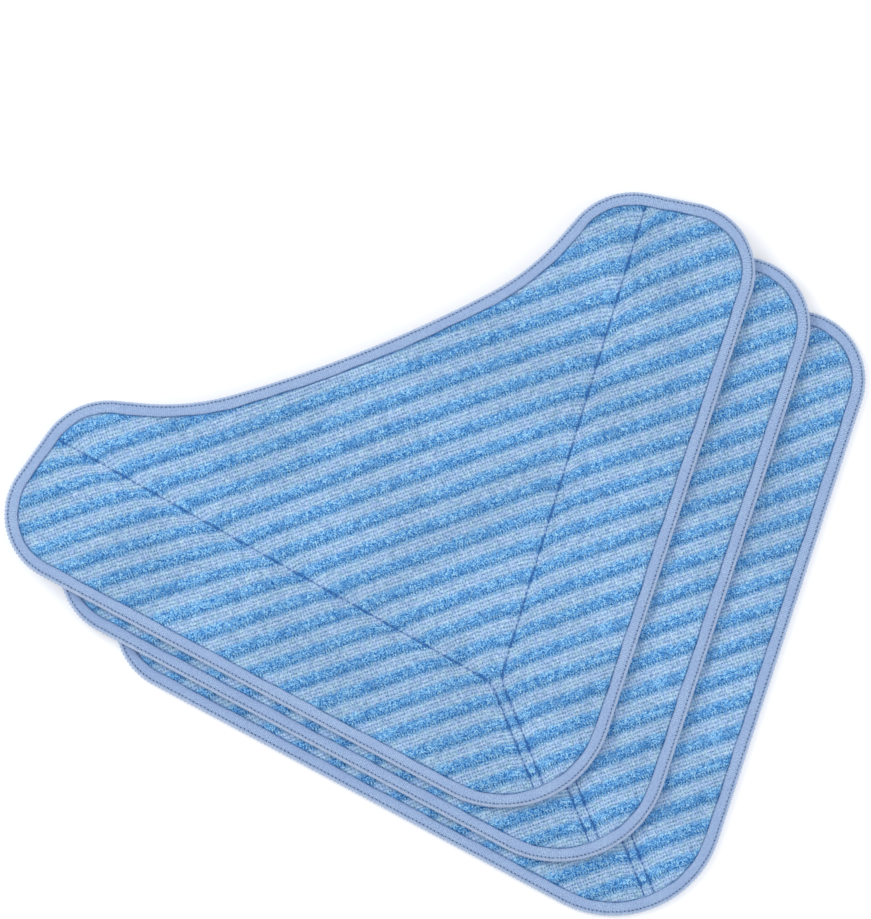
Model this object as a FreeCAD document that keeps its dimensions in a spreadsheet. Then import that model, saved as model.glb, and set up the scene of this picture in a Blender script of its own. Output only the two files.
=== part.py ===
"""A stack of three triangular microfibre pads for a steam mop head, fanned out for display.

Each pad is a sandwich of a striped face cloth, an absorbent core and a loop backing.  A folded
tape binds its edge, and two stitched seams run from the rear lobes to the tip.  Millimetres, +Z up,
working face up, +Y towards the hollow rear edge, origin under the middle of the stack.
"""

import FreeCAD, Part
import Sketcher
import math
import os
import re

V = FreeCAD.Vector
UP = V(0, 0, 1)

# Driving dimensions: alias, value in millimetres or degrees, what it is.
SIZES = [
    ("pad_width", 360, "overall width, outer corner to outer corner"),
    ("pad_length", 243, "overall length, tip to rear lobes"),
    ("tip_radius", 50, "radius of the rounded tip"),
    ("corner_radius", 31.5, "radius of each outer corner"),
    ("corner_setback", 44.7, "centre of an outer corner, forward of the rear extreme"),
    ("lobe_radius", 34, "radius of each rear lobe"),
    ("lobe_inset", 21, "centre of a lobe, inward of the outer corner's centre"),
    ("hollow_depth", 24, "depth of the rear hollow at the middle"),
    ("hollow_radius", 610, "radius of the nearly flat middle of the rear hollow"),
    ("shoulder_radius", 112, "radius where the hollow rises to a lobe"),
    ("shoulder_inset", 77, "centre of a shoulder, inward of the lobe's centre"),
    ("backing_thickness", 0.9, "loop backing"),
    ("core_thickness", 2.2, "absorbent core"),
    ("face_thickness", 2.5, "face cloth with its pile"),
    ("face_rim", 1.1, "face cloth where the tape presses it down"),
    ("tape_thickness", 0.6, "binding tape"),
    ("binding_width", 5.8, "how far the tape laps onto the face and the back"),
    ("stitch_inset", 1.1, "binding stitches, inward of the edge"),
    ("stitch_width", 0.8, "width of the binding stitches"),
    ("stitch_height", 0.3, "height of the binding stitches"),
    ("seam_pair_spacing", 4.6, "between the two seams where they run side by side"),
    ("seam_fork_setback", 58, "where the seams part, behind the tip"),
    ("seam_bend_radius", 14, "radius of a seam's bend at the fork"),
    ("seam_lobe_angle", 57, "direction of a seam's outer end from its lobe's centre"),
    ("seam_end_gap", 0.6, "between a seam's end and the tape"),
    ("channel_width", 1.8, "width of the valley that a seam pulls into the cloth"),
    ("face_channel_depth", 1.1, "depth of that valley in the face"),
    ("back_channel_depth", 0.5, "depth of that valley in the backing"),
    ("thread_width", 0.8, "width of a seam's stitches"),
    ("thread_height", 0.4, "height of a seam's stitches"),
    ("fan_sideways", 14.3, "step to the next lower pad, along +X"),
    ("fan_forward", 31.5, "step to the next lower pad, along -Y"),
    ("stack_gap", 0.3, "clearance between one pad and the next"),
]

PADS = [("bottom", 0), ("middle", 1), ("top", 2)]  # name and level in the stack
SIDES = [("left", -1), ("right", 1)]


def make_sizes(doc):
    """Write the driving dimensions and the heights that follow from them."""
    sheet = doc.addObject("Spreadsheet::Sheet", "sizes")
    for row, (alias, value, note) in enumerate(SIZES, start=1):
        sheet.set("A%d" % row, note)
        sheet.set("B%d" % row, str(value))
        sheet.setAlias("B%d" % row, alias)
    doc.recompute()
    return sheet


def bind(obj, path, formula):
    """Bind a property to a formula in which each size is written by its alias."""
    aliases = "|".join(alias for alias, _, _ in SIZES)
    obj.setExpression(path, re.sub(r"\b(" + aliases + r")\b", r"sizes.\1", formula))


# ---------------------------------------------------------------- the outline

CORNER_X = "pad_width / 2 - corner_radius"
LOBE_X = CORNER_X + " - lobe_inset"
SHOULDER_X = LOBE_X + " - shoulder_inset"
TIP_DROP = "pad_length / 2 - tip_radius"
CORNER_Y = "pad_length / 2 - corner_setback"
LOBE_Y = "pad_length / 2 - lobe_radius"
HOLLOW_Y = "pad_length / 2 - hollow_depth + hollow_radius"


def outline_circles(size):
    """The circles of the outline, counter-clockwise from the tip: x, y, radius (hollow ones < 0)."""
    half = size.pad_length / 2
    corner_x = size.pad_width / 2 - size.corner_radius
    lobe_x = corner_x - size.lobe_inset
    shoulder_x = lobe_x - size.shoulder_inset
    hollow_y = half - size.hollow_depth + size.hollow_radius
    reach = size.hollow_radius - size.shoulder_radius
    shoulder_y = hollow_y - math.sqrt(reach ** 2 - shoulder_x ** 2)
    corner = (corner_x, half - size.corner_setback, size.corner_radius)
    lobe = (lobe_x, half - size.lobe_radius, size.lobe_radius)
    shoulder = (shoulder_x, shoulder_y, -size.shoulder_radius)
    tip = (0, size.tip_radius - half, size.tip_radius)
    hollow = (0, hollow_y, -size.hollow_radius)
    mirrored = [(-x, y, r) for x, y, r in (shoulder, lobe, corner)]
    return [tip, corner, lobe, shoulder, hollow] + mirrored


def touch_normal(first, second):
    """Direction from both centres to the points where the line that joins the circles touches."""
    across = V(second[0] - first[0], second[1] - first[1], 0)
    along = V(across).normalize()
    share = (first[2] - second[2]) / across.Length
    outward = V(along.y, -along.x, 0)
    return outward * math.sqrt(max(0.0, 1 - share ** 2)) + along * share


def add_arc(sketch, circle, entry, leave):
    """Add one arc; return its index and the vertex numbers where the outline enters and leaves."""
    x, y, radius = circle
    start = math.atan2(entry.y, entry.x)
    end = math.atan2(leave.y, leave.x)
    if radius < 0:
        full = Part.Circle(V(x, y, 0), UP, -radius)
        index = sketch.addGeometry(Part.ArcOfCircle(full, end + math.pi, start + math.pi), False)
        return index, 2, 1
    full = Part.Circle(V(x, y, 0), UP, radius)
    return sketch.addGeometry(Part.ArcOfCircle(full, start, end), False), 1, 2


def named(sketch, constraint, name, formula):
    """Add a dimension to a sketch and bind it to a formula."""
    index = sketch.addConstraint(constraint)
    sketch.renameConstraint(index, name)
    bind(sketch, "Constraints." + name, formula)


def make_outline(doc, size):
    """The outer edge of a pad: eight arcs, six straight sides, tangent all round."""
    sketch = doc.addObject("Sketcher::SketchObject", "pad_outline")
    circles = outline_circles(size)
    count = len(circles)
    normals = [touch_normal(circles[i], circles[(i + 1) % count]) for i in range(count)]
    arcs = [add_arc(sketch, circles[i], normals[i - 1], normals[i]) for i in range(count)]
    for i in range(count):
        nxt = (i + 1) % count
        one, _, leave = arcs[i]
        two, entry, _ = arcs[nxt]
        if circles[i][2] < 0 and circles[nxt][2] < 0:
            sketch.addConstraint(Sketcher.Constraint("Tangent", one, leave, two, entry))
            continue
        ends = [V(c[0], c[1], 0) + normals[i] * c[2] for c in (circles[i], circles[nxt])]
        side = sketch.addGeometry(Part.LineSegment(*ends), False)
        sketch.addConstraint(Sketcher.Constraint("Tangent", one, leave, side, 1))
        sketch.addConstraint(Sketcher.Constraint("Tangent", side, 2, two, entry))
    tip, corner, lobe, shoulder, hollow, far_shoulder, far_lobe, far_corner = [arc[0] for arc in arcs]
    for here, there in ((corner, far_corner), (lobe, far_lobe), (shoulder, far_shoulder)):
        sketch.addConstraint(Sketcher.Constraint("Equal", here, there))
    for here, there in ((corner, far_corner), (lobe, far_lobe)):
        sketch.addConstraint(Sketcher.Constraint("Symmetric", here, 3, there, 3, -2))
    for arc in (tip, hollow):
        sketch.addConstraint(Sketcher.Constraint("PointOnObject", arc, 3, -2))
    for name, arc, circle in zip(("tip", "corner", "lobe", "shoulder", "hollow"), arcs, circles):
        radius = Sketcher.Constraint("Radius", arc[0], abs(circle[2]))
        named(sketch, radius, name + "_round", name + "_radius")
    places = (
        ("DistanceX", -1, 1, corner, 3, "corner_x", CORNER_X),
        ("DistanceY", -1, 1, corner, 3, "corner_y", CORNER_Y),
        ("DistanceX", -1, 1, lobe, 3, "lobe_x", LOBE_X),
        ("DistanceY", -1, 1, lobe, 3, "lobe_y", LOBE_Y),
        ("DistanceX", -1, 1, shoulder, 3, "shoulder_x", SHOULDER_X),
        ("DistanceX", far_shoulder, 3, -1, 1, "far_shoulder_x", SHOULDER_X),
        ("DistanceY", tip, 3, -1, 1, "tip_y", TIP_DROP),
        ("DistanceY", -1, 1, hollow, 3, "hollow_y", HOLLOW_Y),
    )
    for kind, one, at, two, to, name, formula in places:
        here = V(0, 0, 0) if one == -1 else sketch.getPoint(one, at)
        there = V(0, 0, 0) if two == -1 else sketch.getPoint(two, to)
        gap = there.x - here.x if kind == "DistanceX" else there.y - here.y
        named(sketch, Sketcher.Constraint(kind, one, at, two, to, gap), name, formula)
    return sketch


# ---------------------------------------------------------------- building blocks


def inset(doc, source, name, formula):
    """A curve inside another one, parallel to it."""
    curve = doc.addObject("Part::Offset2D", name)
    curve.Source = source
    curve.Join = "Tangent"
    bind(curve, "Value", "0 - (" + formula + ")")
    return curve


def band(doc, source, name, formula):
    """The flat band between a curve and the curve parallel to it inside."""
    flat = inset(doc, source, name, formula)
    flat.Fill = True
    return flat


def plate(doc, base, name, height, level):
    """A flat shape raised to a height, standing at a level above the pad's underside."""
    solid = doc.addObject("Part::Extrusion", name)
    solid.Base = base
    solid.DirMode = "Custom"
    solid.Dir = UP
    solid.Solid = True
    bind(solid, "LengthFwd", height)
    bind(solid, "Placement.Base.z", level)
    return solid


def join(doc, name, *shapes):
    """Several shapes as one."""
    whole = doc.addObject("Part::MultiFuse", name)
    whole.Shapes = list(shapes)
    return whole


# ---------------------------------------------------------------- seams

SEAM_REACH = " + (lobe_radius - binding_width - seam_end_gap)"


def make_seam(doc, size, side, sign):
    """The line of one seam: from the lobe to the fork, round the bend, and side by side to the tip."""
    sketch = doc.addObject("Sketcher::SketchObject", side + "_seam_line")
    half = size.pad_length / 2
    lobe = V(size.pad_width / 2 - size.corner_radius - size.lobe_inset, half - size.lobe_radius, 0)
    angle = math.radians(size.seam_lobe_angle)
    reach = size.lobe_radius - size.binding_width - size.seam_end_gap
    outer = lobe + V(math.cos(angle), math.sin(angle), 0) * reach
    fork = V(size.seam_pair_spacing / 2, size.seam_fork_setback - half, 0)
    tip_end = V(fork.x, size.binding_width + size.seam_end_gap - half, 0)
    slope = math.atan2(outer.y - fork.y, outer.x - fork.x)
    turn = math.pi / 2 - slope
    run = size.seam_bend_radius * math.tan(turn / 2)
    bend_out = fork + V(math.cos(slope), math.sin(slope), 0) * run
    bend_in = fork - V(0, run, 0)
    centre = bend_in + V(size.seam_bend_radius, 0, 0)
    outer.x *= sign
    for point in (fork, tip_end, bend_out, bend_in, centre):
        point.x *= sign
    long_run = sketch.addGeometry(Part.LineSegment(outer, bend_out), False)
    circle = Part.Circle(centre, UP, size.seam_bend_radius)
    if sign > 0:
        arc = Part.ArcOfCircle(circle, math.pi / 2 + slope, math.pi)
    else:
        arc = Part.ArcOfCircle(circle, 0, math.pi / 2 - slope)
    first, last = (1, 2) if sign > 0 else (2, 1)
    bend = sketch.addGeometry(arc, False)
    short_run = sketch.addGeometry(Part.LineSegment(bend_in, tip_end), False)
    sketch.addConstraint(Sketcher.Constraint("Tangent", long_run, 2, bend, first))
    sketch.addConstraint(Sketcher.Constraint("Tangent", bend, last, short_run, 1))
    sketch.addConstraint(Sketcher.Constraint("Vertical", short_run))
    named(sketch, Sketcher.Constraint("Radius", bend, size.seam_bend_radius), "bend", "seam_bend_radius")
    places = (
        ("DistanceX", long_run, 1, "outer_x", LOBE_X + SEAM_REACH + " * cos(seam_lobe_angle)", sign),
        ("DistanceY", long_run, 1, "outer_y", LOBE_Y + SEAM_REACH + " * sin(seam_lobe_angle)", 1),
        ("DistanceX", short_run, 2, "pair_x", "seam_pair_spacing / 2", sign),
        ("DistanceY", short_run, 2, "end_y", "pad_length / 2 - binding_width - seam_end_gap", -1),
        ("DistanceY", bend, 3, "bend_y", "pad_length / 2 - seam_fork_setback", -1),
    )
    for kind, shape, at, name, formula, way in places:
        there = sketch.getPoint(shape, at)
        gap = abs(there.x if kind == "DistanceX" else there.y)
        ends = (-1, 1, shape, at) if way > 0 else (shape, at, -1, 1)
        named(sketch, Sketcher.Constraint(kind, *ends, gap), name, formula)
    return sketch


def seam_strip(doc, line, name, width):
    """The outline, round at its ends, of a strip of a given width along a seam's line."""
    strip = doc.addObject("Part::Offset2D", name)
    strip.Source = line
    strip.Mode = "Pipe"
    strip.Join = "Arc"
    bind(strip, "Value", width + " / 2")
    return strip


# ---------------------------------------------------------------- the pad

PAD_HEIGHT = "(backing_thickness + core_thickness + face_thickness)"
FACE_LEVEL = "backing_thickness + core_thickness"
RIM_TOP = FACE_LEVEL + " + face_rim"
EDGE_HEIGHT = RIM_TOP + " + tape_thickness"


def make_stock(doc, size):
    """The shapes that all three pads share: blanks, cutters and the lines of the seams."""
    outline = make_outline(doc, size)
    cloth_edge = inset(doc, outline, "cloth_edge", "tape_thickness")
    lap = band(doc, outline, "tape_lap", "binding_width")
    wall = band(doc, outline, "tape_wall", "tape_thickness")
    stitch_line = inset(doc, outline, "stitch_line", "stitch_inset")
    stitches = band(doc, stitch_line, "stitch_band", "stitch_width")
    valleys = {}
    threads = {}
    for side, sign in SIDES:
        line = make_seam(doc, size, side, sign)
        valleys[side] = seam_strip(doc, line, side + "_valley", "channel_width")
        threads[side] = seam_strip(doc, line, side + "_thread", "thread_width")
    face_cuts = [plate(doc, lap, "face_rebate", "face_thickness", RIM_TOP)]
    back_cuts = [plate(doc, lap, "back_rebate", "tape_thickness", "0")]
    for side, valley in valleys.items():
        floor = PAD_HEIGHT + " - face_channel_depth"
        face_cuts.append(plate(doc, valley, side + "_face_channel", "face_channel_depth", floor))
        back_cuts.append(plate(doc, valley, side + "_back_channel", "back_channel_depth", "0"))
    tape = [
        plate(doc, lap, "tape_under", "tape_thickness", "0"),
        plate(doc, wall, "tape_side", EDGE_HEIGHT, "0"),
        plate(doc, lap, "tape_over", "tape_thickness", RIM_TOP),
    ]
    return {
        "cloth_edge": cloth_edge,
        "stitches": stitches,
        "threads": threads,
        "face_blank": plate(doc, cloth_edge, "face_blank", "face_thickness", FACE_LEVEL),
        "face_cutter": join(doc, "face_cutter", *face_cuts),
        "back_blank": plate(doc, cloth_edge, "back_blank", "backing_thickness", "0"),
        "back_cutter": join(doc, "back_cutter", *back_cuts),
        "tape_blank": join(doc, "tape_blank", *tape),
        "tape_cutter": plate(doc, stitches, "stitch_groove", "stitch_height", "0"),
    }


def cut(doc, name, blank, cutter):
    """A blank with a cutter's shape taken out of it."""
    rest = doc.addObject("Part::Cut", name)
    rest.Base = blank
    rest.Tool = cutter
    return rest


def place(node, level, height):
    """Put a piece in the pad at a level of the stack, at a height above that pad's underside."""
    bind(node, "Placement.Base.x", "fan_sideways * (1 - %d)" % level)
    bind(node, "Placement.Base.y", "fan_forward * (%d - 1)" % level)
    bind(node, "Placement.Base.z", "%d * (%s + stack_gap) + %s" % (level, PAD_HEIGHT, height))
    node.Label = node.Name
    return node


def make_cloths(doc, stock, pad, level):
    """The three layers of the sandwich, the outer two with room for the tape and the seams."""
    face = cut(doc, pad + "_face_cloth", stock["face_blank"], stock["face_cutter"])
    core = plate(doc, stock["cloth_edge"], pad + "_absorbent_core", "core_thickness", "0")
    back = cut(doc, pad + "_loop_backing", stock["back_blank"], stock["back_cutter"])
    return [place(face, level, "0"), place(core, level, "backing_thickness"), place(back, level, "0")]


def make_binding(doc, stock, pad, level):
    """The folded tape round the edge and the two threads that hold it."""
    tape = cut(doc, pad + "_edge_binding", stock["tape_blank"], stock["tape_cutter"])
    over = plate(doc, stock["stitches"], pad + "_binding_needle_thread", "stitch_height", "0")
    under = plate(doc, stock["stitches"], pad + "_binding_looper_thread", "stitch_height", "0")
    return [place(tape, level, "0"), place(over, level, EDGE_HEIGHT), place(under, level, "0")]


def make_seam_threads(doc, stock, pad, level):
    """Each seam's needle thread in the face's valley and its bobbin thread in the back's."""
    nodes = []
    for side, strip in stock["threads"].items():
        needle = plate(doc, strip, pad + "_" + side + "_seam_needle_thread", "thread_height", "0")
        bobbin = plate(doc, strip, pad + "_" + side + "_seam_bobbin_thread", "thread_height", "0")
        nodes.append(place(needle, level, PAD_HEIGHT + " - face_channel_depth"))
        nodes.append(place(bobbin, level, "back_channel_depth - thread_height"))
    return nodes


def check(doc, nodes):
    """Stop if anything failed to build."""
    failed = [obj.Name for obj in doc.Objects if {"Invalid", "Error"} & set(obj.State)]
    if failed:
        raise RuntimeError("failed objects: " + ", ".join(failed))
    for node in nodes:
        shape = node.Shape
        if shape.isNull() or not shape.isValid() or len(shape.Solids) != 1:
            raise RuntimeError("bad shape: " + node.Name)


def main():
    doc = FreeCAD.newDocument("mop_pads")
    size = make_sizes(doc)
    stock = make_stock(doc, size)
    nodes = []
    for pad, level in PADS:
        nodes += make_cloths(doc, stock, pad, level)
        nodes += make_binding(doc, stock, pad, level)
        nodes += make_seam_threads(doc, stock, pad, level)
    doc.recompute()
    check(doc, nodes)
    os.makedirs("parts", exist_ok=True)
    for node in nodes:
        node.Shape.exportStep(os.path.join("parts", node.Label + ".step"))
        box = node.Shape.BoundBox
        print("%-36s %9.1f mm3  z %6.2f to %6.2f" % (node.Label, node.Shape.Volume, box.ZMin, box.ZMax))


main()
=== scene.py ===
"""Looks for a stack of three triangular microfibre mop pads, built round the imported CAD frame.

One pad is made, in its own frame (millimetres: x across, y towards the hollow rear edge, z up from
its underside), and the three pads share its meshes.
"""
import math

import bpy
import numpy as np
from mathutils import Matrix, Vector


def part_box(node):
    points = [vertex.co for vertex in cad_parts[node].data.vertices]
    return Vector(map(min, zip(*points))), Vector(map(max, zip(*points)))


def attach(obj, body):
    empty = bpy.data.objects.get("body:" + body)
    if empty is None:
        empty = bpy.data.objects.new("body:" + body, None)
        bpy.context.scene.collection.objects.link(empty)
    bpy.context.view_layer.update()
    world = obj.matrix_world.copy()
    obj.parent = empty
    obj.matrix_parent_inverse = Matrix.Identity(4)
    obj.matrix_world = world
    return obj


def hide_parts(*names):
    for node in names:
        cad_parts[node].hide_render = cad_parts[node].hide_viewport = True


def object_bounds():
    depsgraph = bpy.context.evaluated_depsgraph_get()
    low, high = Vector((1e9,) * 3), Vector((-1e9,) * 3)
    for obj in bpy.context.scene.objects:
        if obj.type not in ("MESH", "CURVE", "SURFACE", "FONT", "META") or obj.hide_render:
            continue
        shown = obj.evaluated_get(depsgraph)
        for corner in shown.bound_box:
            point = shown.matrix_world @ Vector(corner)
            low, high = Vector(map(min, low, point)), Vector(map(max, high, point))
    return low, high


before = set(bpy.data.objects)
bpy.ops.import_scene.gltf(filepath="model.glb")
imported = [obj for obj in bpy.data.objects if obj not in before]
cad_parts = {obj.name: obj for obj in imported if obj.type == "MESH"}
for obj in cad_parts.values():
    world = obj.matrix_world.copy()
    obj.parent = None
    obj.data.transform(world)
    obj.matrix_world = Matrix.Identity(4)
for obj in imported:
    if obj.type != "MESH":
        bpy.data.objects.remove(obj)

CAD_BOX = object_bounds()
MM = 0.001
PADS = ("bottom", "middle", "top")

# ------------------------------------------------------------------ sizes, the same as the CAD's, mm

PAD_WIDTH = 360.0
PAD_LENGTH = 243.0
TIP_RADIUS = 50.0
CORNER_RADIUS = 31.5
CORNER_SETBACK = 44.7
LOBE_RADIUS = 34.0
LOBE_INSET = 21.0
HOLLOW_DEPTH = 24.0
HOLLOW_RADIUS = 610.0
SHOULDER_RADIUS = 112.0
SHOULDER_INSET = 77.0
BINDING_WIDTH = 5.8
SEAM_SPACING = 4.6
SEAM_FORK_SETBACK = 58.0
SEAM_BEND_RADIUS = 14.0
SEAM_LOBE_ANGLE = math.radians(57)
SEAM_END_GAP = 0.6

# heights above the pad's underside
BACK_TOP = 0.9
CORE_TOP = 3.1
RIM_TOP = 4.1  # face cloth under the tape
FACE_TOP = 5.3  # mean top of the pile
FACE_HIDDEN = 2.6  # the face cloth's own edge lies under the tape, this far inside the outline
CORE_HIDDEN = 1.4  # and the core's
BACK_HIDDEN = 1.1  # and the loop backing's
LAYER_GAP = 0.05  # the core and the face's underside draw back this far from their layer's height

# the padding: how it swells in from the tape, and how the seams press it down
PILE_TUCK = 1.2  # the pile starts to rise this far under the tape's lap
CROWN_RUN = 4.2  # and has its full height this much further in
VALLEY_DEPTH = 0.55  # the broad valley along a seam
VALLEY_REACH = 2.6
GROOVE_DEPTH = 0.42  # the narrow one that its stitches pull
GROOVE_REACH = 0.9

# the striped cloth: seven courses of pile to a repeat, three pale and four blue
STRIPE_PITCH = 11.83
STRIPE_TILT = math.radians(-2.18)
STRIPE_START = 6.02  # middle of one pale stripe, along +Y from the pad's middle
COURSES = 7
COURSE = STRIPE_PITCH / COURSES
WALE = 1.315  # from one tuft to the next along a course
SEAM_PULL = 1.3  # how far a seam draws the stripes forward, and how much further by its outer end
SEAM_END_PULL = 1.2
SEAM_PULL_REACH = 60.0  # along the seam from its outer end
# broad bulges of the stripes: x, y, reach, amount along +Y
DRIFTS = (
    (-85, 68, 42, -1.7),
    (-142, 50, 30, 2.4),
    (158, 98, 30, 2.4),
    (125, 35, 26, -1.1),
    (58, -20, 28, 0.8),
)

STITCH_PITCH = 1.87  # binding
STITCH_DEPTH = 1.52  # the binding's needle stitches, inward of the edge
NEEDLE_HEIGHT = 4.80
NEEDLE_LENGTH = 0.86
NEEDLE_RADIUS = 0.31
NEEDLE_SAG = 0.20  # how far both ends of a stitch dip
LOOPER_RADIUS = 0.17
RIB_PITCH = 0.81  # the tape's weave
SEAM_STITCH = 3.1
SEAM_THREAD_SHARE = 0.86  # how much of each seam stitch shows as thread
FLOOR_REACH = 20.0  # metres from the middle
FLOOR_GLOW = 0.14  # emission strength
WORLD_LIGHT = 0.80  # background strength


# ------------------------------------------------------------------ the outline: circles and tangents


def outline_circles():
    """Circles of the outer edge, counter-clockwise from the tip: x, y, radius (hollow ones < 0)."""
    half = PAD_LENGTH / 2
    corner_x = PAD_WIDTH / 2 - CORNER_RADIUS
    lobe_x = corner_x - LOBE_INSET
    shoulder_x = lobe_x - SHOULDER_INSET
    hollow_y = half - HOLLOW_DEPTH + HOLLOW_RADIUS
    shoulder_y = hollow_y - math.sqrt((HOLLOW_RADIUS - SHOULDER_RADIUS) ** 2 - shoulder_x**2)
    side = [
        (corner_x, half - CORNER_SETBACK, CORNER_RADIUS),
        (lobe_x, half - LOBE_RADIUS, LOBE_RADIUS),
        (shoulder_x, shoulder_y, -SHOULDER_RADIUS),
    ]
    mirrored = [(-x, y, r) for x, y, r in reversed(side)]
    return [(0.0, TIP_RADIUS - half, TIP_RADIUS)] + side + [(0.0, hollow_y, -HOLLOW_RADIUS)] + mirrored


def outline_elements():
    """Arcs ("arc", centre, radius, first normal angle, turn) and sides ("side", start, end, normal)."""
    circles = outline_circles()
    count = len(circles)
    normals = []
    for i in range(count):
        a, b = np.array(circles[i][:2]), np.array(circles[(i + 1) % count][:2])
        along = (b - a) / np.linalg.norm(b - a)
        share = (circles[i][2] - circles[(i + 1) % count][2]) / np.linalg.norm(b - a)
        outward = np.array([along[1], -along[0]])
        normals.append(outward * math.sqrt(max(0.0, 1 - share**2)) + along * np.clip(share, -1, 1))
    elements = []
    for i in range(count):
        x, y, radius = circles[i]
        first = math.atan2(normals[i - 1][1], normals[i - 1][0])
        last = math.atan2(normals[i][1], normals[i][0])
        turn = (last - first + math.pi) % (2 * math.pi) - math.pi
        elements.append(("arc", np.array([x, y]), radius, first, turn))
        nxt = circles[(i + 1) % count]
        start = np.array([x, y]) + normals[i] * radius
        end = np.array(nxt[:2]) + normals[i] * nxt[2]
        if np.linalg.norm(end - start) > 1e-6:
            elements.append(("side", start, end, normals[i]))
    return elements


ELEMENTS = outline_elements()


def edge_depth(x, y):
    """How far each point lies inside the outer edge, in mm."""
    best = np.full(np.shape(x), 1e9)
    for kind, a, b, c, *turn in ELEMENTS:
        if kind == "arc":
            dx, dy = x - a[0], y - a[1]
            sign = 1 if b > 0 else -1
            angle = np.arctan2(dy * sign, dx * sign) - c
            way = (angle * sign + math.pi) % (2 * math.pi) - math.pi
            depth = (abs(b) - np.hypot(dx, dy)) * sign
            valid = (way > -0.02) & (way < abs(turn[0]) + 0.02)
        else:
            run = b - a
            length = np.linalg.norm(run)
            t = ((x - a[0]) * run[0] + (y - a[1]) * run[1]) / length
            depth = -((x - a[0]) * c[0] + (y - a[1]) * c[1])
            valid = (t > -0.5) & (t < length + 0.5)
        best = np.where(valid & (np.abs(depth) < np.abs(best)), depth, best)
    return best


def along_outline(step):
    """Evenly spaced points round the outer edge, their outward normals and the distance gone."""
    lengths = [abs(e[2] * e[4]) if e[0] == "arc" else np.linalg.norm(e[2] - e[1]) for e in ELEMENTS]
    total = sum(lengths)
    count = int(round(total / step))
    gone = np.arange(count) * total / count
    points = np.zeros((count, 2))
    normals = np.zeros((count, 2))
    start = 0.0
    for element, length in zip(ELEMENTS, lengths):
        here = (gone >= start) & (gone < start + length)
        t = (gone[here] - start) / length
        if element[0] == "arc":
            _, centre, radius, first, turn = element
            angle = first + turn * t
            normals[here] = np.c_[np.cos(angle), np.sin(angle)]
            points[here] = centre + radius * normals[here]
        else:
            _, a, b, normal = element
            points[here] = a + (b - a) * t[:, None]
            normals[here] = normal
        start += length
    return points, normals, gone, total


# ------------------------------------------------------------------ the seams


def seam_points(sign):
    """The line of one seam, from the lobe to the tip."""
    half = PAD_LENGTH / 2
    lobe = np.array([PAD_WIDTH / 2 - CORNER_RADIUS - LOBE_INSET, half - LOBE_RADIUS])
    reach = LOBE_RADIUS - BINDING_WIDTH - SEAM_END_GAP
    outer = lobe + reach * np.array([math.cos(SEAM_LOBE_ANGLE), math.sin(SEAM_LOBE_ANGLE)])
    fork = np.array([SEAM_SPACING / 2, SEAM_FORK_SETBACK - half])
    tip_end = np.array([fork[0], BINDING_WIDTH + SEAM_END_GAP - half])
    slope = math.atan2(*(outer - fork)[::-1])
    run = SEAM_BEND_RADIUS * math.tan((math.pi / 2 - slope) / 2)
    centre = fork + np.array([SEAM_BEND_RADIUS, -run])
    bend = [
        centre + SEAM_BEND_RADIUS * np.array([math.cos(a), math.sin(a)])
        for a in np.linspace(math.pi / 2 + slope, math.pi, 7)
    ]
    return np.array([outer, *bend, tip_end]) * np.array([sign, 1])


SEAMS = {"left": seam_points(-1), "right": seam_points(1)}


def near_line(x, y, line):
    """Distance from each point to a line of straight runs, and how far along the line that is."""
    best = np.full(np.shape(x), 1e9)
    along = np.zeros(np.shape(x))
    gone = 0.0
    for a, b in zip(line[:-1], line[1:]):
        run = b - a
        length = np.linalg.norm(run)
        t = np.clip(((x - a[0]) * run[0] + (y - a[1]) * run[1]) / length**2, 0, 1)
        away = np.hypot(x - a[0] - t * run[0], y - a[1] - t * run[1])
        closer = away < best
        best = np.where(closer, away, best)
        along = np.where(closer, gone + t * length, along)
        gone += length
    return best, along


def seam_distance(x, y):
    """Distance from each point to the nearest seam, and how far along it that is."""
    left, left_along = near_line(x, y, SEAMS["left"])
    right, right_along = near_line(x, y, SEAMS["right"])
    nearer = left < right
    return np.where(nearer, left, right), np.where(nearer, left_along, right_along)


def smooth(t):
    t = np.clip(t, 0, 1)
    return t * t * (3 - 2 * t)


# ------------------------------------------------------------------ mesh helpers


def new_mesh(name, points_mm, faces, attributes=None, uv=None):
    """A mesh from points in the pad's frame, which it also keeps as the attribute pad_place (mm)."""
    points = np.asarray(points_mm, float)
    mesh = bpy.data.meshes.new(name)
    mesh.from_pydata((points * MM).tolist(), [], faces if isinstance(faces, list) else faces.tolist())
    place = mesh.attributes.new("pad_place", "FLOAT_VECTOR", "POINT")
    place.data.foreach_set("vector", points.astype(np.float32).ravel())
    for key, values in (attributes or {}).items():
        layer = mesh.attributes.new(key, "FLOAT", "POINT")
        layer.data.foreach_set("value", np.asarray(values, np.float32))
    if uv is not None:
        layer = mesh.uv_layers.new(name="OFBake")
        corners = np.zeros(len(mesh.loops), np.int32)
        mesh.loops.foreach_get("vertex_index", corners)
        layer.uv.foreach_set("vector", uv[corners].astype(np.float32).ravel())
    mesh.polygons.foreach_set("use_smooth", [True] * len(mesh.polygons))
    mesh.update()
    return mesh


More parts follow.
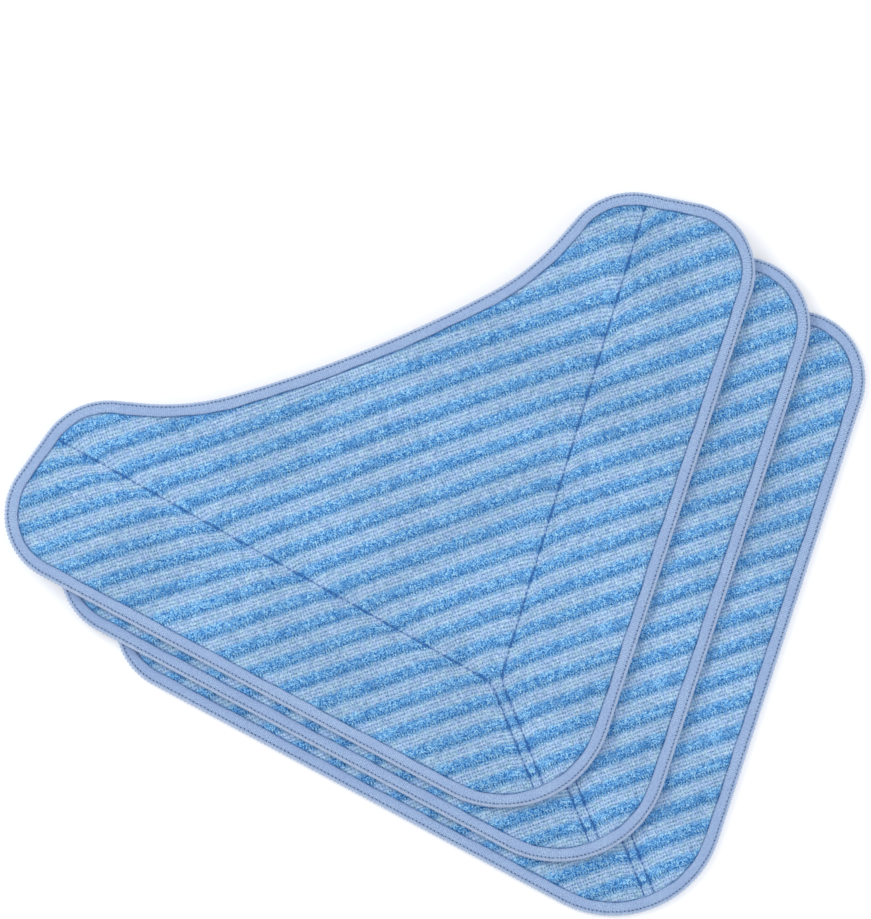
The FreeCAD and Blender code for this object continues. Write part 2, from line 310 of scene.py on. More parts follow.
def swept_ring(name, profile, step, shape):
    """A closed profile (depth inside the edge, height) carried round the outline and then shaped."""
    points, normals, gone, total = along_outline(step)
    count, size = len(points), len(profile)
    depth = np.repeat(np.array([p[0] for p in profile])[None], count, 0)
    height = np.repeat(np.array([p[1] for p in profile])[None], count, 0)
    depth, height = shape(depth, height, gone[:, None], total)
    x = points[:, :1] - normals[:, :1] * depth
    y = points[:, 1:] - normals[:, 1:] * depth
    verts = np.stack([x, y, height], -1).reshape(-1, 3)
    i, j = np.meshgrid(np.arange(count), np.arange(size), indexing="ij")
    ii, jj = (i + 1) % count, (j + 1) % size
    faces = np.stack([i * size + j, ii * size + j, ii * size + jj, i * size + jj], -1).reshape(-1, 4)
    return new_mesh(name, verts, faces, {"gone": np.repeat(gone, size), "depth": depth.ravel()})


def tube_faces(count, rings, sides):
    """Faces of many closed tubes, each with the same rings of points, one tube after another."""
    base = (np.arange(count) * rings * sides)[:, None, None, None]
    r, k = np.meshgrid(np.arange(rings - 1), np.arange(sides), indexing="ij")
    kk = (k + 1) % sides
    quads = base + np.stack(
        [r * sides + k, (r + 1) * sides + k, (r + 1) * sides + kk, r * sides + kk], -1
    )
    faces = quads.reshape(-1, 4).tolist()
    for first in (np.arange(count) * rings * sides).tolist():
        faces.append([first + s for s in range(sides)])
        last = first + (rings - 1) * sides
        faces.append([last + s for s in reversed(range(sides))])
    return faces


def capsules(name, centres, directions, lengths, radii, sides=6, sag=0.0):
    """Many short round-ended stitches: one row of rings each, bent down by sag at both ends."""
    rings = np.array([-0.5, -0.44, -0.25, 0.0, 0.25, 0.44, 0.5])
    girth = np.array([0.25, 0.72, 1.0, 1.0, 1.0, 0.72, 0.25])
    n, m = len(centres), len(rings)
    along = np.c_[directions, np.zeros(n)]
    across = np.c_[-directions[:, 1], directions[:, 0], np.zeros(n)]
    up = np.array([0, 0, 1.0])
    turn = np.arange(sides) * 2 * math.pi / sides
    spine = centres[:, None, :] + along[:, None, :] * (rings[None, :, None] * lengths[:, None, None])
    spine = spine - up * (sag * (2 * rings) ** 2)[None, :, None]
    ring = np.cos(turn)[:, None] * across[:, None, None, :] + np.sin(turn)[:, None] * up
    verts = spine[:, :, None, :] + ring * (girth[None, :, None, None] * radii[:, None, None, None])
    return new_mesh(name, verts.reshape(-1, 3), tube_faces(n, m, sides))


# ------------------------------------------------------------------ cloth layers


def grid_faces(inside):
    """The points used by a grid's cells that lie inside, and those cells as quads of their numbers."""
    cells = inside[:-1, :-1] & inside[1:, :-1] & inside[1:, 1:] & inside[:-1, 1:]
    used = np.zeros_like(inside)
    for di in (0, 1):
        for dj in (0, 1):
            used[di : used.shape[0] - 1 + di, dj : used.shape[1] - 1 + dj] |= cells
    index = np.full(used.shape, -1)
    index[used] = np.arange(used.sum())
    ci, cj = np.nonzero(cells)
    quads = np.stack([index[ci, cj], index[ci + 1, cj], index[ci + 1, cj + 1], index[ci, cj + 1]], -1)
    return used, quads


def border_edges(quads):
    """The edges that only one quad has, in that quad's direction."""
    edges = np.concatenate([quads[:, [k, (k + 1) % 4]] for k in range(4)]).astype(np.int64)
    count = edges.max() + 1
    twin = np.isin(edges[:, 0] * count + edges[:, 1], edges[:, 1] * count + edges[:, 0])
    return edges[~twin]


def border_loop(quads):
    """The point numbers round the border, in order."""
    border = border_edges(quads)
    following = dict(border.tolist())
    loop = [int(border[0, 0])]
    while following[loop[-1]] != loop[0]:
        loop.append(following[loop[-1]])
    return np.array(loop)


def stripe_drift(x, y):
    """How far the cloth lies along +Y from where straight, even stripes would put it."""
    away, along = seam_distance(x, y)
    pull = SEAM_PULL + SEAM_END_PULL * np.exp(-along / SEAM_PULL_REACH)
    drift = -pull * np.exp(-((away / 4.5) ** 2))
    for at_x, at_y, reach, amount in DRIFTS:
        drift = drift + amount * np.exp(-((x - at_x) ** 2 + (y - at_y) ** 2) / (2 * reach**2))
    return drift


def pile_relief(column, half_course, rng):
    """Relief at the grid's points: popcorn tufts on the pale courses, ragged loops on the blue ones."""
    course = half_course // 2
    on_course = half_course % 2 == 0
    in_line = column % 2 == 0
    staggered = on_course & ((column - course) % 2 == 0)
    noise = rng.standard_normal(np.shape(column)).clip(-2, 2)
    from_pale = (half_course / 2 + COURSES / 2) % COURSES - COURSES / 2
    crest = np.where(in_line, 0.24, 0.12)
    gap = np.where(in_line, -0.02, -0.36)
    tufts = np.where(on_course, crest, gap) + 0.07 * noise
    loops = np.where(staggered, 0.08, np.where(on_course, -0.06, -0.12)) + 0.22 * noise
    sunk = np.where(staggered, -0.04, -0.30) + 0.12 * noise
    relief = np.where(np.abs(from_pale) < 1.4, tufts, loops)
    return np.where(np.abs(from_pale - 2.0) < 0.6, sunk, relief)


def face_height(x, y, depth, relief):
    """Height of the pile: padded between the seams, pressed down at the tape and the stitches."""
    away, along = seam_distance(x, y)
    risen = depth - BINDING_WIDTH + PILE_TUCK
    crown = RIM_TOP + (FACE_TOP - RIM_TOP) * smooth(risen / CROWN_RUN)
    stitched = 0.75 + 0.25 * np.cos(2 * math.pi * along / SEAM_STITCH)
    groove = GROOVE_DEPTH * np.exp(-((away / GROOVE_REACH) ** 2)) * stitched
    valley = VALLEY_DEPTH * np.exp(-((away / VALLEY_REACH) ** 2)) + groove
    crushed = 1 - 0.6 * np.exp(-((away / 1.2) ** 2))
    pile = relief * smooth(risen / 2.0) * crushed
    return crown - valley * smooth((depth - BINDING_WIDTH) / 2) + pile


def build_face():
    """A fine grid laid along the cloth's courses, cut to the outline, with a plain closed underside."""
    rng = np.random.default_rng(11)
    along_step, across_step = WALE / 2, COURSE / 2
    reach = math.hypot(PAD_WIDTH, PAD_LENGTH) / 2
    columns = np.arange(-int(reach / along_step), int(reach / along_step) + 1)
    halves = np.arange(-int(reach / across_step), int(reach / across_step) + 1)
    column, half = np.meshgrid(columns, halves, indexing="ij")
    u, v = column * along_step, STRIPE_START + half * across_step
    cos, sin = math.cos(STRIPE_TILT), math.sin(STRIPE_TILT)
    x, y = u * cos - v * sin, u * sin + v * cos
    drift = stripe_drift(x, y)
    x, y = x - drift * sin, y + drift * cos
    depth = edge_depth(x, y)
    used, quads = grid_faces(depth > FACE_HIDDEN)
    x, y, depth, column, half = x[used], y[used], depth[used], column[used], half[used]
    count = len(x)
    z = face_height(x, y, depth, pile_relief(column, half, rng))
    jitter = 0.09 * smooth((depth - BINDING_WIDTH) / 2)
    spread = rng.standard_normal((count, 2)).clip(-2, 2) * jitter[:, None]
    top = np.c_[x + spread[:, 0], y + spread[:, 1], z]
    loop = border_loop(quads)
    under = top[loop].copy()
    under[:, 2] = CORE_TOP + LAYER_GAP
    ring = np.arange(len(loop))
    following = np.roll(ring, -1)
    skirt = np.stack([loop, count + ring, count + following, loop[following]], -1)
    bottom = list(range(count + len(loop) - 1, count - 1, -1))
    points = np.r_[top, under]
    hidden = np.zeros(len(loop))
    attributes = {
        "seam": np.r_[seam_distance(x, y)[0], hidden + 50],
        "edge": np.r_[depth, hidden],
        "wale": np.r_[column / 2, hidden],
        "course": np.r_[half / 2, hidden],
    }
    uv = (points[:, :2] + [PAD_WIDTH / 2, PAD_LENGTH / 2]) / PAD_WIDTH
    small, corner = 0.02, 0.96  # the underside is packed into a corner of the map
    uv[count:] = uv[count:] * small + corner
    return new_mesh("face_pile", points, quads.tolist() + skirt.tolist() + [bottom], attributes, uv=uv)


def flat_layer(name, depth_out, low, high, step, bumps, seed):
    """A closed layer with round edges and the seams pressed in."""
    rng = np.random.default_rng(seed)
    half_w, half_l = PAD_WIDTH / 2, PAD_LENGTH / 2
    x, y = np.meshgrid(np.arange(-half_w, half_w, step), np.arange(-half_l, half_l, step), indexing="ij")
    depth = edge_depth(x, y)
    used, quads = grid_faces(depth > depth_out)
    x, y, depth = x[used], y[used], depth[used]
    count = len(x)
    pinch = 0.75 * np.exp(-((seam_distance(x, y)[0] / 1.6) ** 2))
    rim = 0.35 * (1 - smooth((depth - depth_out) / 3.0))
    middle = (low + high) / 2
    noise = bumps * rng.standard_normal(count).clip(-2, 2)
    lower = low + (middle - low) * (pinch + rim) + np.abs(noise)
    upper = high - (high - middle) * (pinch + rim)
    border = border_edges(quads)
    skirt = np.c_[border[:, 0], border[:, 0] + count, border[:, 1] + count, border[:, 1]]
    faces = quads.tolist() + (quads[:, ::-1] + count).tolist() + skirt.tolist()
    return new_mesh(name, np.r_[np.c_[x, y, upper], np.c_[x, y, lower]], faces)


# ------------------------------------------------------------------ binding

TAPE_PROFILE = (
    (5.8, 4.62), (5.55, 4.86), (4.9, 5.02), (3.7, 5.08), (2.6, 5.04), (1.95, 4.93), (1.45, 4.78),
    (1.0, 4.66), (0.55, 4.44), (0.2, 4.05), (0.03, 3.45), (0.0, 2.7), (0.03, 1.7), (0.14, 0.95),
    (0.4, 0.42), (0.85, 0.14), (1.5, 0.06), (3.2, 0.04), (5.5, 0.06), (5.8, 0.25), (5.5, 0.5),
    (1.3, 0.62), (0.75, 1.3), (0.65, 2.7), (0.85, 3.7), (1.5, 4.25), (3.4, 4.5), (5.5, 4.5),
)


def tape_shape(depth, height, gone, total):
    """Puckers where the stitches pull the tape in, and a slow unevenness of its lap."""
    stitches = round(total / STITCH_PITCH)
    wave = np.cos(2 * math.pi * stitches * gone / total)
    outer = np.exp(-(((depth - 1.1) / 1.0) ** 2)) * (height > 2.5)
    uneven = 0.16 * np.sin(gone * 2 * math.pi * 23 / total + 1.0) + 0.10 * np.sin(
        gone * 2 * math.pi * 61 / total
    )
    top = (height > 4.3) & (depth > 4.0)
    height = height - 0.10 * outer * (0.5 + 0.5 * wave)
    rolled = (depth < 0.6) & (height > 0.3)
    depth = depth + np.where(rolled, 0.09 * (0.5 + 0.5 * wave), 0.0)
    return depth + np.where(top, uneven, 0.0), height


def build_tape():
    return swept_ring("binding_tape", TAPE_PROFILE, STITCH_PITCH / 3, tape_shape)


def stitch_stations():
    """One station for each binding stitch: place on the edge and outward normal."""
    points, normals, _, _ = along_outline(STITCH_PITCH)
    return points, normals


def build_needle_stitches():
    points, normals = stitch_stations()
    rng = np.random.default_rng(5)
    inward = STITCH_DEPTH + 0.07 * rng.standard_normal(len(points))
    centres = np.c_[points - normals * inward[:, None], np.full(len(points), NEEDLE_HEIGHT)]
    tangents = np.c_[-normals[:, 1], normals[:, 0]]
    lengths = NEEDLE_LENGTH + 0.08 * rng.standard_normal(len(points))
    radii = np.full(len(points), NEEDLE_RADIUS)
    return capsules("binding_needle", centres, tangents, lengths, radii, sag=NEEDLE_SAG)


def build_looper():
    """Thread thrown over the edge at every stitch, from the tape's top round to its underside."""
    points, normals = stitch_stations()
    rng = np.random.default_rng(6)
    path = np.array(
        [(1.42, 4.86), (0.95, 4.80), (0.45, 4.52), (0.06, 4.05), (-0.12, 3.2), (-0.15, 2.3),
         (-0.08, 1.3), (0.15, 0.72), (0.55, 0.24), (1.1, 0.16), (1.45, 0.16)]
    )
    sides = 5
    n, m = len(points), len(path)
    lean = 0.35 + 0.10 * rng.standard_normal(n)
    tangents = np.c_[-normals[:, 1], normals[:, 0]]
    drift = np.linspace(-0.5, 0.5, m)
    centre = points[:, None, :] - normals[:, None, :] * path[None, :, :1]
    centre = centre + tangents[:, None, :] * (lean[:, None] * drift[None])[..., None]
    spine = np.concatenate([centre, np.repeat(path[None, :, 1:], n, 0)], -1)
    step = np.gradient(path, axis=0)
    step /= np.linalg.norm(step, axis=1)[:, None]
    outward = np.c_[-normals, np.zeros(n)]
    up = np.array([0, 0, 1.0])
    side = np.c_[tangents, np.zeros(n)]
    turned = -outward[:, None, :] * step[None, :, 1:] + up * step[None, :, :1]
    turn = np.arange(sides) * 2 * math.pi / sides
    ring = np.cos(turn)[:, None] * side[:, None, None, :] + np.sin(turn)[:, None] * turned[:, :, None, :]
    verts = spine[:, :, None, :] + LOOPER_RADIUS * ring
    return new_mesh("binding_looper", verts.reshape(-1, 3), tube_faces(n, m, sides))


def build_seam_stitches(side, name, height, radius, sag):
    """Stitches along one seam."""
    line = SEAMS[side]
    runs = np.linalg.norm(np.diff(line, axis=0), axis=1)
    total = runs.sum()
    count = int(round(total / SEAM_STITCH))
    gone = (np.arange(count) + 0.5) * total / count
    ends = np.r_[0, np.cumsum(runs)]
    place = np.c_[np.interp(gone, ends, line[:, 0]), np.interp(gone, ends, line[:, 1])]
    ahead = np.c_[np.interp(gone + 0.4, ends, line[:, 0]), np.interp(gone + 0.4, ends, line[:, 1])]
    way = (ahead - place) / np.linalg.norm(ahead - place, axis=1)[:, None]
    centres = np.c_[place, np.full(count, height)]
    lengths = np.full(count, SEAM_STITCH * SEAM_THREAD_SHARE)
    return capsules(name, centres, way, lengths, np.full(count, radius), sides=8, sag=sag)


# ------------------------------------------------------------------ materials


class Graph:
    """Short ways to write a material's nodes."""

    def __init__(self, name):
        self.material = bpy.data.materials.new(name)
        self.material.use_nodes = True
        self.nodes = self.material.node_tree.nodes
        self.links = self.material.node_tree.links
        self.shader = self.nodes["Principled BSDF"]

    def put(self, socket, value):
        if isinstance(value, bpy.types.NodeSocket):
            self.links.new(value, socket)
        elif isinstance(value, tuple) and len(value) == 3 and socket.type == "RGBA":
            socket.default_value = (*value, 1)
        else:
            socket.default_value = value

    def math(self, operation, *values):
        node = self.nodes.new("ShaderNodeMath")
        node.operation = operation
        for socket, value in zip(node.inputs, values):
            self.put(socket, value)
        return node.outputs[0]

    def attribute(self, name, output="Vector"):
        node = self.nodes.new("ShaderNodeAttribute")
        node.attribute_name = name
        return node.outputs[output]

    def vector(self, x, y, z):
        node = self.nodes.new("ShaderNodeCombineXYZ")
        for socket, value in zip(node.inputs, (x, y, z)):
            self.put(socket, value)
        return node.outputs[0]

    def noise(self, place, scale, detail=2.0, rough=0.5, output="Fac"):
        node = self.nodes.new("ShaderNodeTexNoise")
        self.put(node.inputs["Vector"], place)
        self.put(node.inputs["Scale"], scale)
        self.put(node.inputs["Detail"], detail)
        self.put(node.inputs["Roughness"], rough)
        return node.outputs[output]

    def cells(self, place, scale):
        node = self.nodes.new("ShaderNodeTexVoronoi")
        self.put(node.inputs["Vector"], place)
        self.put(node.inputs["Scale"], scale)
        return node.outputs["Distance"]

    def chance(self, place):
        """A number from 0 to 1 that is the same for equal places only."""
        node = self.nodes.new("ShaderNodeTexWhiteNoise")
        self.put(node.inputs["Vector"], place)
        return node.outputs["Value"]

    def blend(self, *shares):
        """The sum of values, each times its share."""
        total = self.math("MULTIPLY", *shares[0])
        for value, share in shares[1:]:
            total = self.math("ADD", total, self.math("MULTIPLY", value, share))
        return total

    def wave(self, value):
        """From 0 to 1 and back once for each whole number, 1 at the whole numbers."""
        cosine = self.math("COSINE", self.math("MULTIPLY", value, 2 * math.pi))
        return self.math("ADD", self.math("MULTIPLY", cosine, 0.5), 0.5)

    def near(self, value, middle, reach, sharp=0.0):
        """1 at the middle, falling to 0 at its reach."""
        return self.between(self.math("ABSOLUTE", self.math("SUBTRACT", value, middle)), reach, sharp)

    def between(self, value, low, high, to_low=0.0, to_high=1.0, smooth_step=True):
        node = self.nodes.new("ShaderNodeMapRange")
        node.interpolation_type = "SMOOTHSTEP" if smooth_step else "LINEAR"
        for socket, number in zip(node.inputs, (value, low, high, to_low, to_high)):
            self.put(socket, number)
        return node.outputs[0]

    def mix(self, share, one, two, how="MIX"):
        node = self.nodes.new("ShaderNodeMix")
        node.data_type = "RGBA"
        node.blend_type = how
        self.put(node.inputs["Factor"], share)
        self.put(node.inputs["A"], one)
        self.put(node.inputs["B"], two)
        return node.outputs["Result"]

    def ramp(self, value, stops):
        node = self.nodes.new("ShaderNodeValToRGB")
        self.put(node.inputs[0], value)
        elements = node.color_ramp.elements
        for at, colour in stops[1:-1]:
            elements.new(at).color = (*colour, 1)
        elements[0].position, elements[0].color = stops[0][0], (*stops[0][1], 1)
        elements[-1].position, elements[-1].color = stops[-1][0], (*stops[-1][1], 1)
        return node.outputs[0]

    def bump(self, height, strength, distance_mm):
        node = self.nodes.new("ShaderNodeBump")
        self.put(node.inputs["Strength"], strength)
        self.put(node.inputs["Distance"], distance_mm * MM)
        self.put(node.inputs["Height"], height)
        self.links.new(node.outputs[0], self.shader.inputs["Normal"])

    def finish(self, colour, roughness, sheen=0.0):
        self.put(self.shader.inputs["Base Color"], colour)
        self.put(self.shader.inputs["Roughness"], roughness)
        self.shader.inputs["Specular IOR Level"].default_value = 0.25
        if sheen:
            self.shader.inputs["Sheen Weight"].default_value = sheen
            self.shader.inputs["Sheen Roughness"].default_value = 0.5
        return self.material


def srgb(red, green, blue):
    """A colour given as 0-255 sRGB, in linear light."""
    return tuple(
        (c / 255 / 12.92) if c / 255 <= 0.04045 else ((c / 255 + 0.055) / 1.055) ** 2.4
        for c in (red, green, blue)
    )


BLUE_TONES = (
    (0.18, srgb(4, 72, 150)),
    (0.38, srgb(54, 132, 208)),
    (0.57, srgb(100, 176, 240)),
    (0.88, srgb(184, 232, 255)),
)
PALE_TONES = (
    (0.06, srgb(84, 124, 166)),
    (0.27, srgb(130, 170, 212)),
    (0.45, srgb(158, 199, 238)),
    (0.80, srgb(208, 232, 253)),
)
TICK_COLOUR = srgb(24, 72, 130)
GAP_SHADE_COLOUR = srgb(90, 116, 146)


def face_material():
    g = Graph("striped_pile")
    place = g.attribute("pad_place")
    wale = g.attribute("wale", "Fac")
    course = g.attribute("course", "Fac")
    seam = g.attribute("seam", "Fac")
    edge = g.attribute("edge", "Fac")
    # one tuft or loop: its own number, and how near its crown a point is
    row = g.math("FLOOR", g.math("ADD", course, 0.5))
    stitch = g.chance(g.vector(g.math("FLOOR", g.math("ADD", wale, 0.5)), row, 0.0))
    crown = g.blend((g.wave(course), 0.6), (g.wave(wale), 0.4))
    fine = g.between(g.noise(place, 1.6, 2.0, 0.6), 0.33, 0.67, smooth_step=False)
    curl = g.noise(place, 0.6, 1.0, 0.5)
    sway = g.math("SUBTRACT", g.noise(place, 0.9, 1.0, 0.5), 0.5)
    # courses from the middle of the pale stripe, -3.5 to 3.5
    turns = g.math("DIVIDE", course, float(COURSES))
    phase = g.math("SUBTRACT", g.math("FRACT", g.math("ADD", turns, 0.5)), 0.5)
    from_pale = g.math("MULTIPLY", phase, float(COURSES))
    ragged = g.blend((stitch, 0.6), (curl, 2.2), (fine, 0.6))
    off_middle = g.math("ABSOLUTE", g.math("SUBTRACT", from_pale, 0.05))
    middle_ragged = 1.70  # what the ragged sum comes to on average
    pale = g.between(g.math("ADD", off_middle, ragged), 2.20 + middle_ragged, 1.15 + middle_ragged)
    # the pale courses: tufts in line, with painted shade in the gaps between them and a painted highlight
    # on their crowns
    loose_course = g.blend((course, 1.0), (sway, 0.7))
    loose_wale = g.blend((wale, 1.0), (sway, 0.9))
    between_courses = g.between(g.wave(loose_course), 0.55, 0.05)
    gap_shade = g.math("MULTIPLY", between_courses, g.between(g.wave(loose_wale), 0.65, 0.10))
    # the crown share paints each tuft lighter at its top: a painted highlight
    pale_tone = g.blend((crown, 0.26), (stitch, 0.16), (fine, 0.52))
    pale_colour = g.ramp(pale_tone, PALE_TONES)
    # painted shade in the gaps between the tufts, stronger at some tufts than at others
    gap_shade_share = g.between(g.blend((stitch, 0.5), (fine, 0.5)), 0.15, 0.85, 0.75, 0.15)
    pale_colour = g.mix(g.math("MULTIPLY", gap_shade, gap_shade_share), pale_colour, GAP_SHADE_COLOUR)
    tint_share = g.between(g.noise(place, 0.35, 2.0), 0.42, 0.60)
    tint = g.mix(tint_share, (0.99, 0.955, 1.04), (0.99, 1.02, 0.995))
    pale_colour = g.mix(1.0, pale_colour, tint, "MULTIPLY")
    # the blue courses: ragged loops, and a row of dark ticks behind each pale stripe
    # the crown share paints each loop's top a little lighter: a painted highlight
    blue_tone = g.blend((crown, 0.12), (stitch, 0.20), (fine, 0.68), (curl, 0.10))
    blue_colour = g.ramp(blue_tone, BLUE_TONES)
    deep = g.between(g.noise(place, 0.16, 1.0), 0.52, 0.72)
    blue_colour = g.mix(g.math("MULTIPLY", deep, 0.45), blue_colour, srgb(56, 128, 200))
    lilac = g.between(g.noise(place, 0.8, 2.0, 0.6, "Color"), 0.5, 0.72)
    blue_colour = g.mix(g.math("MULTIPLY", lilac, 0.35), blue_colour, srgb(150, 182, 228))
    tick_course = g.near(from_pale, 2.35, 1.15, 0.35)
    in_ticks = g.math("MULTIPLY", tick_course, g.between(g.wave(wale), 0.30, 0.80))
    tick_strength = g.between(stitch, 0.0, 0.7, 0.45, 1.0)
    tick_share = g.math("MULTIPLY", tick_strength, g.between(fine, 0.0, 1.0, 1.0, 0.5))
    blue_colour = g.mix(g.math("MULTIPLY", in_ticks, tick_share), blue_colour, TICK_COLOUR)
    colour = g.mix(pale, blue_colour, pale_colour)
    # darker in the seams, and painted shade along the tape's inner edge where the tape presses the pile
    # down
    pressed = g.between(seam, 1.2, 0.2)
    seam_dark = g.math("MULTIPLY", pressed, g.between(pale, 0.0, 1.0, 0.70, 0.26))
    colour = g.mix(seam_dark, colour, srgb(20, 84, 158))
    # painted shade: a thin dark line where the pile meets the tape's inner edge
    rim = g.between(edge, BINDING_WIDTH + 1.0, BINDING_WIDTH + 0.2)
    colour = g.mix(g.math("MULTIPLY", rim, 0.6), colour, srgb(40, 98, 164))
    cloudy = g.between(g.noise(place, 0.02, 2.0), 0.35, 0.65, 0.95, 1.05)
    colour = g.mix(1.0, colour, g.vector(cloudy, cloudy, cloudy), "MULTIPLY")
    g.bump(g.blend((curl, 0.8), (fine, 1.0)), 0.8, 0.5)
    return g.finish(colour, 0.92, sheen=0.1)


def tape_material():
    g = Graph("binding_tape")
    place = g.attribute("pad_place")
    gone = g.attribute("gone", "Fac")
    depth = g.attribute("depth", "Fac")
    ribs = g.math("SINE", g.math("MULTIPLY", gone, 2 * math.pi / RIB_PITCH))
    weave = g.noise(place, 1.6, 3.0, 0.65)
    tone = g.blend((ribs, 0.10), (weave, 1.0))
    colour = g.ramp(tone, (
        (0.30, srgb(112, 138, 180)),
        (0.5, srgb(144, 170, 209)),
        (0.72, srgb(178, 198, 228)),
    ))
    soft = g.between(g.noise(place, 0.06, 2.0), 0.35, 0.65)
    colour = g.mix(g.math("MULTIPLY", soft, 0.35), colour, srgb(134, 158, 202))
    # painted highlight: the tape's outer rim, where it rolls over the edge, is painted lighter
    rim = g.between(depth, 1.1, 0.5)
    colour = g.mix(g.math("MULTIPLY", rim, 0.55), colour, srgb(192, 208, 232))
    # painted shade in a band along the line of the needle stitches
    stitch_line_shade = g.math("MULTIPLY", g.near(depth, 1.5, 0.7, 0.1), 0.30)
    colour = g.mix(stitch_line_shade, colour, srgb(98, 122, 162))
    g.bump(g.blend((ribs, 0.25), (weave, 1.0)), 0.5, 0.25)
    return g.finish(colour, 0.7, sheen=0.15)


def thread_material(name, low, high):
    g = Graph(name)
    place = g.attribute("pad_place")
    twist = g.noise(place, 3.0, 2.0)
    colour = g.ramp(twist, ((0.3, low), (0.7, high)))
    g.bump(twist, 0.5, 0.1)
    return g.finish(colour, 0.55, sheen=0.1)


def felt_material(name, low, high, scale):
    g = Graph(name)
    place = g.attribute("pad_place")
    fibres = g.noise(place, scale, 4.0, 0.65)
    loops = g.cells(place, scale * 0.9)
    tone = g.math("SUBTRACT", g.math("ADD", fibres, 0.15), g.math("MULTIPLY", loops, 0.35))
    colour = g.ramp(tone, ((0.2, low), (0.7, high)))
    g.bump(tone, 0.7, 0.4)
    return g.finish(colour, 0.95, sheen=0.2)


# ------------------------------------------------------------------ the pads


def cut_area(depth):
    """Area, in square mm, inside the line that runs this far inside the outer edge."""
    points, normals, _, _ = along_outline(1.0)
    x, y = (points - normals * depth).T
    return 0.5 * abs(np.sum(x * np.roll(y, -1) - y * np.roll(x, -1)))


def make_pads():
    seam_thread = thread_material("seam_thread", srgb(14, 68, 142), srgb(48, 110, 184))
    dark_thread = thread_material("binding_needle_thread", srgb(40, 58, 92), srgb(70, 94, 132))
    edge_thread = thread_material("binding_looper_thread", srgb(150, 172, 204), srgb(200, 214, 236))
    meshes = {
        "face_cloth": (build_face(), face_material(), "striped_pile_cloth"),
        "absorbent_core": (
            flat_layer(
                "core_wadding", CORE_HIDDEN, BACK_TOP + LAYER_GAP, CORE_TOP - LAYER_GAP,
                step=2.4, bumps=0.05, seed=3,
            ),
            felt_material("core_fibre", srgb(212, 216, 222), srgb(244, 245, 247), 0.9),
            "absorbent_core",
        ),
        "loop_backing": (
            flat_layer(
                "backing_loops", BACK_HIDDEN, 0.06, BACK_TOP - 0.02,
                step=1.3, bumps=0.06, seed=4,
            ),
            felt_material("backing_nap", srgb(150, 172, 206), srgb(206, 220, 238), 1.2),
            "loop_backing",
        ),
        "edge_binding": (build_tape(), tape_material(), "binding_tape"),
        "binding_needle_thread": (build_needle_stitches(), dark_thread, "binding_thread"),
        "binding_looper_thread": (build_looper(), edge_thread, "binding_thread"),
    }
    for side in SEAMS:
        needle = build_seam_stitches(side, side + "_needle_stitches", height=4.50, radius=0.21, sag=0.20)
        bobbin = build_seam_stitches(side, side + "_bobbin_stitches", height=0.30, radius=0.22, sag=-0.15)
        meshes[side + "_seam_needle_thread"] = (needle, seam_thread, "seam_thread")
        meshes[side + "_seam_bobbin_thread"] = (bobbin, seam_thread, "seam_thread")
    for mesh, material, _ in meshes.values():
        mesh.materials.append(material)
    for pad in PADS:
        low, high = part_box(pad + "_edge_binding")
        for part, (mesh, _, slot) in meshes.items():
            piece = bpy.data.objects.new(pad + "_" + mesh.name, mesh)
            bpy.context.scene.collection.objects.link(piece)
            piece.location = ((low.x + high.x) / 2, (low.y + high.y) / 2, low.z)
            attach(piece, pad + "_pad")
            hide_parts(pad + "_" + part)
            if part == "loop_backing":
                cut_area(BACK_HIDDEN) * MM**2


make_pads()

# ------------------------------------------------------------------ floor, light and camera


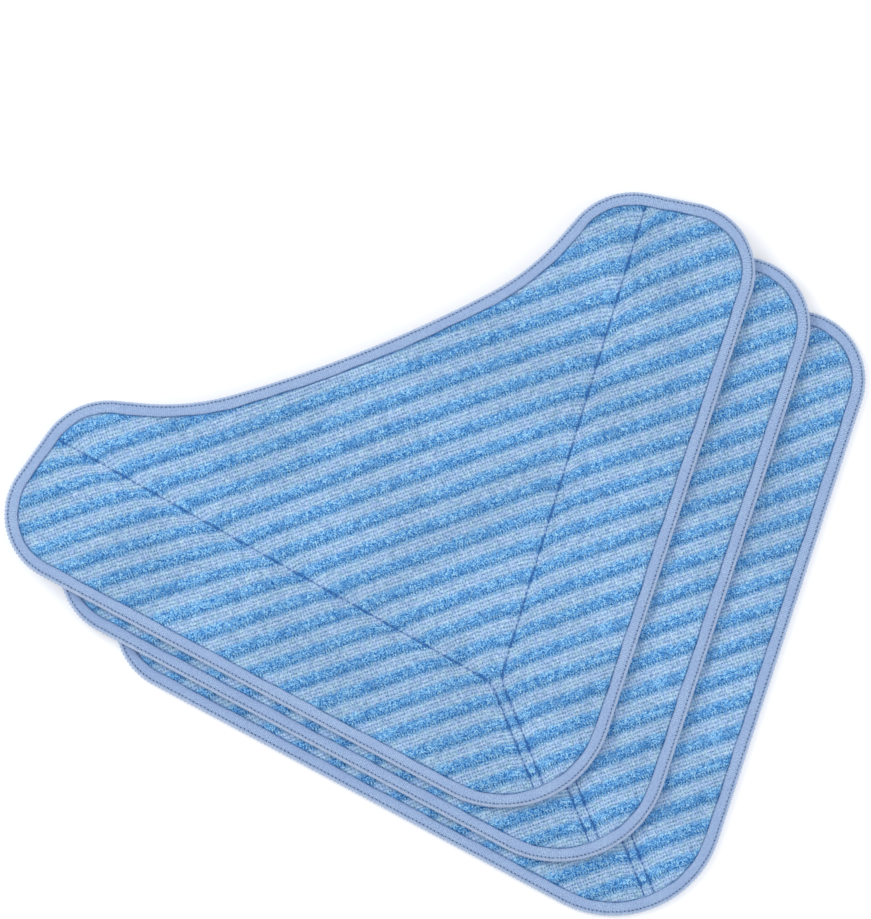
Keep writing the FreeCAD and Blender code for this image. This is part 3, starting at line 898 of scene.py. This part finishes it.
def make_floor():
    mesh = bpy.data.meshes.new("floor")
    corners = [(x * FLOOR_REACH, y * FLOOR_REACH, 0) for x, y in ((-1, -1), (1, -1), (1, 1), (-1, 1))]
    mesh.from_pydata(corners, [], [(0, 1, 2, 3)])
    floor = bpy.data.objects.new("floor", mesh)
    bpy.context.scene.collection.objects.link(floor)
    g = Graph("pale_floor")
    shade = g.noise(g.attribute("position"), 6.0, 2.0)
    g.shader.inputs["Emission Color"].default_value = (1, 1, 1, 1)
    g.shader.inputs["Emission Strength"].default_value = FLOOR_GLOW
    colour = g.ramp(shade, ((0.0, (0.90, 0.90, 0.90)), (1.0, (0.93, 0.93, 0.93))))
    mesh.materials.append(g.finish(colour, 0.8))


def add_area(name, place, size, watts, tint):
    """A square soft light, aimed at the middle of the pads."""
    light = bpy.data.lights.new(name, "AREA")
    light.shape = "RECTANGLE"
    light.size = size
    light.size_y = size
    light.energy = watts
    light.color = tint
    lamp = bpy.data.objects.new(name, light)
    lamp.location = place
    lamp.rotation_euler = (-Vector(place)).to_track_quat("-Z", "Y").to_euler()
    bpy.context.scene.collection.objects.link(lamp)


AZIMUTH, ELEVATION = math.radians(-21.8), math.radians(84)
LENS, SENSOR, FRAME_WIDTH = 600.0, 36.0, 0.3928  # mm, mm, and metres across the picture
LOOK_AT = Vector((-0.00247, 0.07077, CAD_BOX[1][2]))


def make_camera():
    back = Vector((
        math.sin(AZIMUTH) * math.cos(ELEVATION),
        -math.cos(AZIMUTH) * math.cos(ELEVATION),
        math.sin(ELEVATION),
    ))
    right = Vector((math.cos(AZIMUTH), math.sin(AZIMUTH), 0))
    up = back.cross(right)
    data = bpy.data.cameras.new("camera")
    data.lens = LENS
    data.sensor_fit = "HORIZONTAL"
    data.sensor_width = SENSOR
    data.clip_end = 50
    camera = bpy.data.objects.new("camera", data)
    bpy.context.scene.collection.objects.link(camera)
    camera.location = LOOK_AT + back * (LENS * FRAME_WIDTH / SENSOR)
    camera.rotation_euler = Matrix((right, up, back)).transposed().to_euler()
    bpy.context.scene.camera = camera


def make_light():
    world = bpy.data.worlds.new("studio")
    world.use_nodes = True
    background = world.node_tree.nodes["Background"]
    background.inputs["Color"].default_value = (1, 1, 1, 1)
    background.inputs["Strength"].default_value = WORLD_LIGHT
    bpy.context.scene.world = world
    add_area("key", (-0.9, 0.9, 1.5), size=1.1, watts=14, tint=(1.0, 0.99, 0.97))
    add_area("fill", (1.0, -0.7, 1.3), size=1.4, watts=7, tint=(0.97, 0.98, 1.0))


make_floor()
make_light()
make_camera()
bpy.context.scene.view_settings.view_transform = "Standard"
